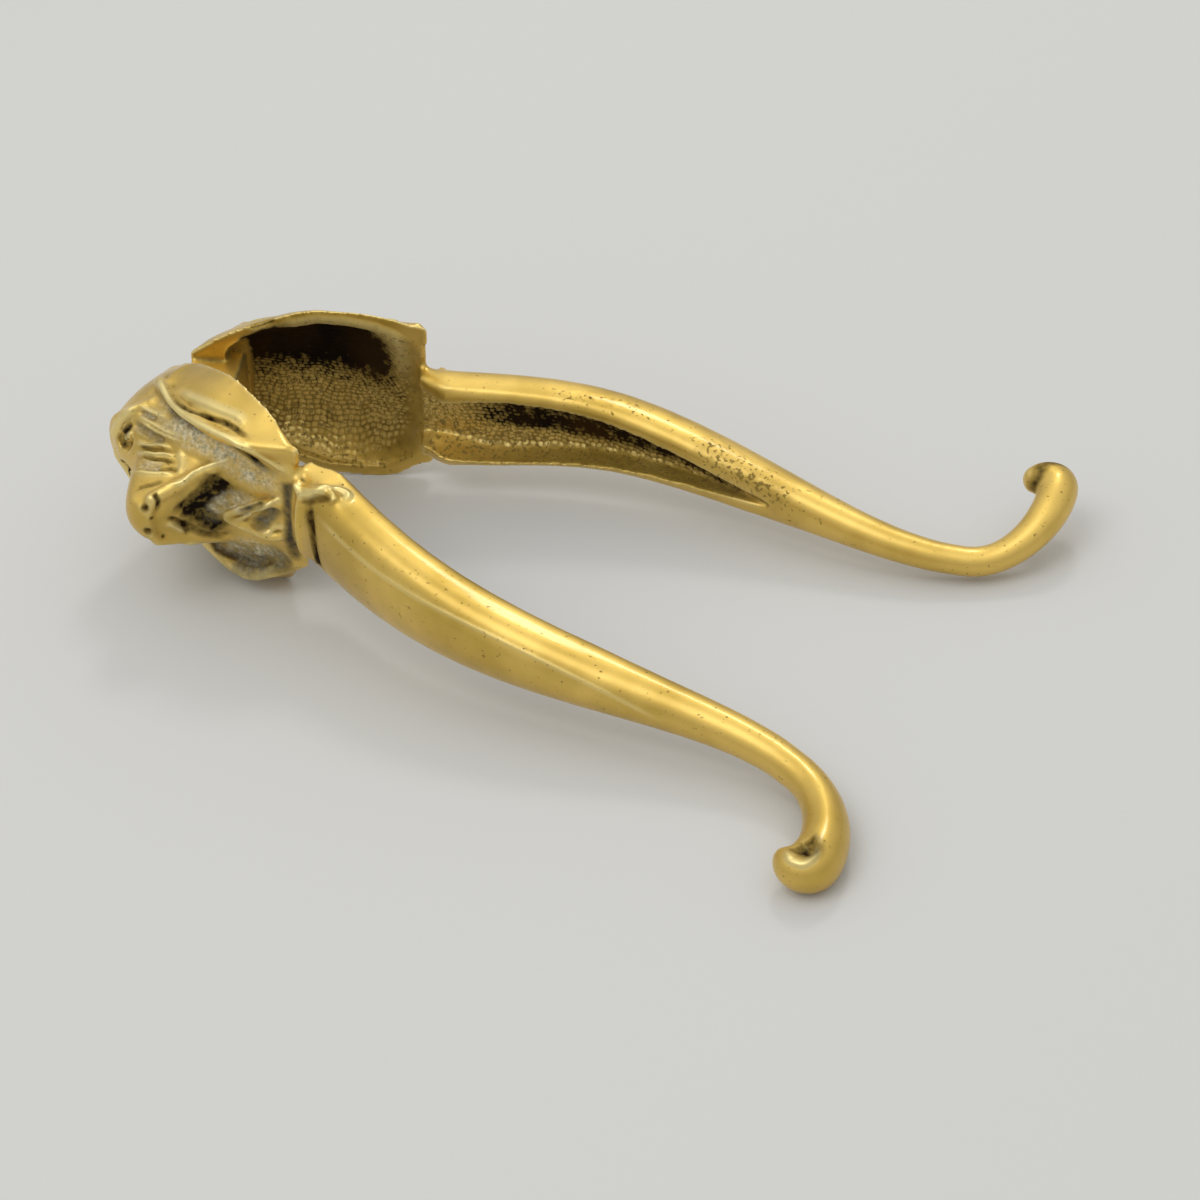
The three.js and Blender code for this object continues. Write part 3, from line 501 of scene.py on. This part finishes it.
# The castings: the hinge's place in the arm's frame, the arm's turn and mirroring, the height of the
# face's relief, the remesh size in mm, the strokes, and the spots, as place and reach in mm, where
# forms run softly into each other
forkArm = {
    "name": "fork_casting", "node": "fork_arm", "body": "fork", "slot": "cast_brass",
    "pin": (11.2, 2.6), "turn": -23.2, "flip": -1, "relief": 1.0, "grain": 0.26,
    "mirrored": headStrokes + forkLipStrokes, "single": throatStrokes + forkHandleStrokes,
    "blended": [(39.5, 5, 3, 3), (35.5, 3.5, 14.8, 5.5),  # neck, ear's end
                (4, 9, 8, 5.5), (4, 9, -8, 5.5), (2, 11, 3, 4)],  # both temples, crown
}
tongueArm = {
    "name": "tongue_casting", "node": "tongue_arm", "body": "tongue", "slot": "cast_brass",
    "pin": (4.4, -13.2), "turn": 23.2, "flip": 1, "relief": 0.62, "grain": 0.26,
    "mirrored": headStrokes + tongueLipStrokes, "single": tongueHandleStrokes,
    "blended": [(39.5, -2, 6.5, 4.5), (25, 11, 0, 6)],  # neck, muzzle
}

# The hollows: punch marks, rim, grime and painted shade, sizes in mm
punch = {"row": 0.7, "tick": 1.15, "height": 0.2, "seed": 5, "rowKinds": 97, "tickKinds": 89}
inner = {
    "rimHeight": 0.9,  # added to the cup's upper rim on its inner side
    "shadeAlong": (48, 66, 85), "shadeHeight": (-3, -1.8, -0.3),  # edge of the channel's dark band
    # blackest: level of the painted shade under the upper walls; the grime levels darken the rest of
    # the hollows
    "blackest": 1.6, "cupGrime": 0.7, "lipClean": 0.4, "wallGrime": 0.2, "floorGrime": 0.4,
}
mostTriangles = 190000


# Middle of the casting at each point's place along the arm: the rim plane in the cup, the handle's
# axis beyond, taken from slices
def spineOf(places):
    slices, thick = 61, 3
    x, y, z = places.T
    at = np.clip((x / thick).astype(int), 0, slices - 1)
    spine = []
    for values, cup, drop in ((y, -1.0, 2.5), (z, 0.0, 0.0)):
        top = np.full(slices, -1e9)
        bottom = np.full(slices, 1e9)
        np.maximum.at(top, at, values)
        np.minimum.at(bottom, at, values)
        middle = np.where(top > -1e8, (top + bottom) / 2, 0) - drop
        beyond = np.interp(x, np.arange(slices) * thick + thick / 2, middle)
        spine.append(np.where(x < cupEnd, cup, beyond))
    return np.stack([x, *spine], 1)


# Faces of the cup and of the channel look back at the spine; those of the ears and the muzzle have
# the shell between
def insideMask(skin, arm, places, normals, spine):
    lift = 0.3  # mm off the skin, clear of the point's own face
    x = places[:, 0]
    away = places - spine
    away /= np.maximum(1e-6, np.linalg.norm(away, axis=1))[:, None]
    facing = -(normals * away).sum(1)
    mask = smoothStep(facing, 0.1, 0.5) * (x > 3) * smoothStep(x, 96, 88)
    shell = BVHTree.FromObject(skin, bpy.context.evaluated_depsgraph_get())
    starts = toRow(arm, places + lift * normals)
    ways = toRow(arm, spine) - starts
    for i in np.flatnonzero((mask > 0) & (x < cupEnd)):
        way = Vector(ways[i])
        if shell.ray_cast(Vector(starts[i]), way, way.length)[0]:
            mask[i] = 0
    return mask


# Punch marks inside the cup and the channel: uneven rows of short ticks
def punchMarks(places, spine):
    cupRadius = 9  # mm, turns the angle round the cup into a length
    chance = np.random.default_rng(punch["seed"])
    rowWidth, rowKinds, tickKinds = punch["row"], punch["rowKinds"], punch["tickKinds"]
    x = places[:, 0]
    over = places[:, 2] - spine[:, 2]
    around = np.where(x < cupEnd, cupRadius * np.arctan2(over, places[:, 1] + 2), over)
    around = around + 0.25 * np.sin(0.6 * x) + 0.15 * np.sin(1.4 * x + 2)
    row = np.floor(around / rowWidth).astype(int) % rowKinds
    pace = (0.8 + 0.4 * chance.random(rowKinds))[row]
    run = x / punch["tick"] * pace + chance.random(rowKinds)[row]
    tick = np.floor(run).astype(int) % tickKinds
    across = np.sin(np.pi * (around / rowWidth % 1)) ** 1.2
    length = np.sin(np.pi * (run % 1))
    return across * length * (0.2 + 0.8 * chance.random((rowKinds, tickKinds))[row, tick])


# Wear, grime and painted shade: painted black shade under the upper walls, thinner grime below,
# rubbed off ridges and the ticks' tops, and a painted highlight on the rim
def ageSkin(skin, arm, places, spine, inside, rim, floorward, ticks, marks):
    x, z = places[:, 0], places[:, 2]
    hollow = hollowness(skin, arm, 12)
    crevice = smoothStep(hollow, 0.03, 0.2)
    ridge = smoothStep(-hollow, 0.05, 0.3)
    tops = smoothStep(ticks, 0.03, 0.25)
    inCup = x < cupEnd + 2
    # painted shade: the cup's upper wall and a band along the channel's upper wall are darkened as
    # shadow from the overhead light
    cupShade = smoothStep(z - spine[:, 2], -5, 6) * smoothStep(x, 37, 30)
    band = z - np.interp(x, inner["shadeAlong"], inner["shadeHeight"])
    upper = np.where(inCup, cupShade, 0.75 * smoothStep(band, -0.9, 1.2) * smoothStep(x, 41, 55))
    saddle = smoothStep(x, 33, 38) * smoothStep(x, 47, 43)
    low = np.where(inCup, inner["cupGrime"] - inner["lipClean"] * smoothStep(z, -9, -13),
                   inner["wallGrime"] + inner["floorGrime"] * floorward)
    grimedAndShaded = inside * (1 - rim) * (low + (inner["blackest"] - low) * upper)
    grimedAndShaded = grimedAndShaded * (1 - tops * (1 - upper)) * (1 - 0.5 * saddle)
    rubbedAndHighlit = np.maximum(ridge * (1 - inside), 0.4 * tops * (1 - upper))
    marks["coarse"] = np.maximum(marks["coarse"], inside)
    marks["patinaAndShade"] = np.maximum.reduce([marks["patinaAndShade"], 0.7 * crevice * (1 - inside), grimedAndShaded])
    # the rim's band joins the worn mark, as wear and as a painted highlight
    marks["worn"] = np.maximum.reduce([marks["worn"], rubbedAndHighlit, rim]) * (1 - crevice)
    for name, values in marks.items():
        layer = skin.data.attributes.new(name, "FLOAT", "POINT")
        layer.data.foreach_set("value", values.astype(np.float32))


def finishArm(arm):
    skin = castSkin(arm)
    places, normals = readSkin(skin, arm)
    marks = {name: np.zeros(len(places)) for name in ("patinaAndShade", "verdigris", "coarse", "worn")}
    spine = spineOf(places)
    inside = spread(insideMask(skin, arm, places, normals, spine), meshEdges(skin), 4)
    shift = workSkin(places, inside, arm, marks)
    x, y, z = places.T
    # painted highlight: the band inside the cup's upper rim is raised and given the pale rubbed
    # colour, partly wear and partly a painted highlight
    rim = inside * smoothStep(y, 3.2, 0.9) * smoothStep(z, 0, 6)
    rim = rim * smoothStep(x, 13, 18) * smoothStep(x, 37, 34)  # clear of the slot and the neck
    floorward = np.where(x < cupEnd, smoothStep(y, 1.2, 3),
                         smoothStep(np.abs(normals[:, 1]), 0.4, 0.7))
    ticks = punchMarks(places, spine) * inside * floorward
    raised = shift + punch["height"] * ticks + inner["rimHeight"] * rim
    writeSkin(skin, arm, places + normals * raised[:, None])
    ageSkin(skin, arm, places, spine, inside, rim, floorward, ticks, marks)
    ratio = mostTriangles / (2 * len(skin.data.polygons))
    if ratio < 1:
        applyModifier("DECIMATE", ratio=ratio)
    skin.data.materials.append(castBrass("old cast brass, " + arm["body"]))
    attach(skin, arm["body"])
    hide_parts(arm["node"])
    print(arm["name"], "has", len(skin.data.polygons), "faces")


finishArm(forkArm)
finishArm(tongueArm)


# Hinge pin: the solid with eased ends

def finishPin():
    pin = {"name": "hinge_pin_brass", "node": "hinge_pin", "body": "fork", "slot": "pin_brass",
           "edge": 0.12, "edgeSteps": 2, "edgeAngle": 50, "shadeAngle": 35}
    made = copySolid(pin["name"], pin["node"])
    applyModifier("BEVEL", width=pin["edge"] * mm, segments=pin["edgeSteps"],
                  angle_limit=math.radians(pin["edgeAngle"]))
    bpy.ops.object.shade_smooth_by_angle(angle=math.radians(pin["shadeAngle"]))
    made.data.materials.append(castBrass("turned brass pin"))
    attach(made, pin["body"])
    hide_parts(pin["node"])
    print(pin["name"], "has", len(made.data.polygons), "faces")


finishPin()


# Stage: a pale floor, soft lights and the camera at the photo's angle

def buildFloor():
    look = {"size": 6, "colour": "#CFCFCC", "roughness": 0.9}  # matt, so no reflection shows in it
    bpy.ops.mesh.primitive_plane_add(size=look["size"], location=(0, 0, 0))
    floor = bpy.context.object
    floor.name = "studio_floor"
    material = bpy.data.materials.new("matt pale floor")
    material.use_nodes = True
    shader = material.node_tree.nodes["Principled BSDF"]
    shader.inputs["Base Color"].default_value = linear(look["colour"])
    shader.inputs["Roughness"].default_value = look["roughness"]
    floor.data.materials.append(material)


# The sky is brighter overhead than at the horizon, as under a large ceiling softbox
light = {
    "lamps": {  # place in m, size in m, power in W
        "key softbox": ((-0.15, 0.6, 0.74), 0.18, 1.05),
        "front softbox": ((-0.15, -0.35, 0.85), 0.6, 1.5),
    },
    "aim": (0, 0, 0.012), "horizon": 0.35, "zenith": 1.0,
}


def buildLight():
    for name, (place, size, power) in light["lamps"].items():
        area = bpy.data.lights.new(name, "AREA")
        area.shape = "DISK"
        area.size = size
        area.energy = power
        lamp = bpy.data.objects.new(name, area)
        bpy.context.scene.collection.objects.link(lamp)
        lamp.location = place
        way = Vector(light["aim"]) - Vector(place)
        lamp.rotation_euler = way.to_track_quat("-Z", "Y").to_euler()
    world = bpy.data.worlds.new("soft studio")
    world.use_nodes = True
    tree = world.node_tree
    way = addNode(tree, "ShaderNodeTexCoord")["Generated"]
    rise = addNode(tree, "ShaderNodeSeparateXYZ", {"Vector": way})["Z"]
    level = addNode(tree, "ShaderNodeMapRange",
                    {"Value": rise, 1: 0.0, 2: 1.0, 3: light["horizon"],
                     4: light["zenith"]})["Result"]
    tree.links.new(level, tree.nodes["Background"].inputs["Strength"])
    tree.nodes["Background"].inputs["Color"].default_value = (1, 1, 1, 1)
    bpy.context.scene.world = world


# The view is set against the plane of the arms, so it follows the way they lie
def buildCamera():
    view = {"azimuth": 31.15, "elevation": 43.05, "distance": 432.8, "aim": (75.855, -2.081, 2.3),
            "focal": 87.15}
    side = math.radians(view["azimuth"])
    rise = math.radians(view["elevation"])
    back = Vector((math.sin(side) * math.cos(rise), -math.cos(side) * math.cos(rise),
                   math.sin(rise)))
    right = Vector((math.cos(side), math.sin(side), 0))
    up = back.cross(right)
    turned = Matrix.Rotation(armSlope, 3, "Y")
    lens = bpy.data.cameras.new("photo_camera")
    lens.sensor_width = 36
    lens.lens = view["focal"]
    lens.clip_end = 20
    camera = bpy.data.objects.new("photo_camera", lens)
    bpy.context.scene.collection.objects.link(camera)
    pose = (turned @ Matrix((right, up, back)).transposed()).to_4x4()
    stand = Vector(view["aim"]) + back * view["distance"]
    pose.translation = (turned @ stand + Vector(hingePlace)) * mm
    camera.matrix_world = pose
    bpy.context.scene.camera = camera


buildFloor()
buildLight()
buildCamera()
bpy.context.scene.view_settings.view_transform = "Standard"
print("stage ready")
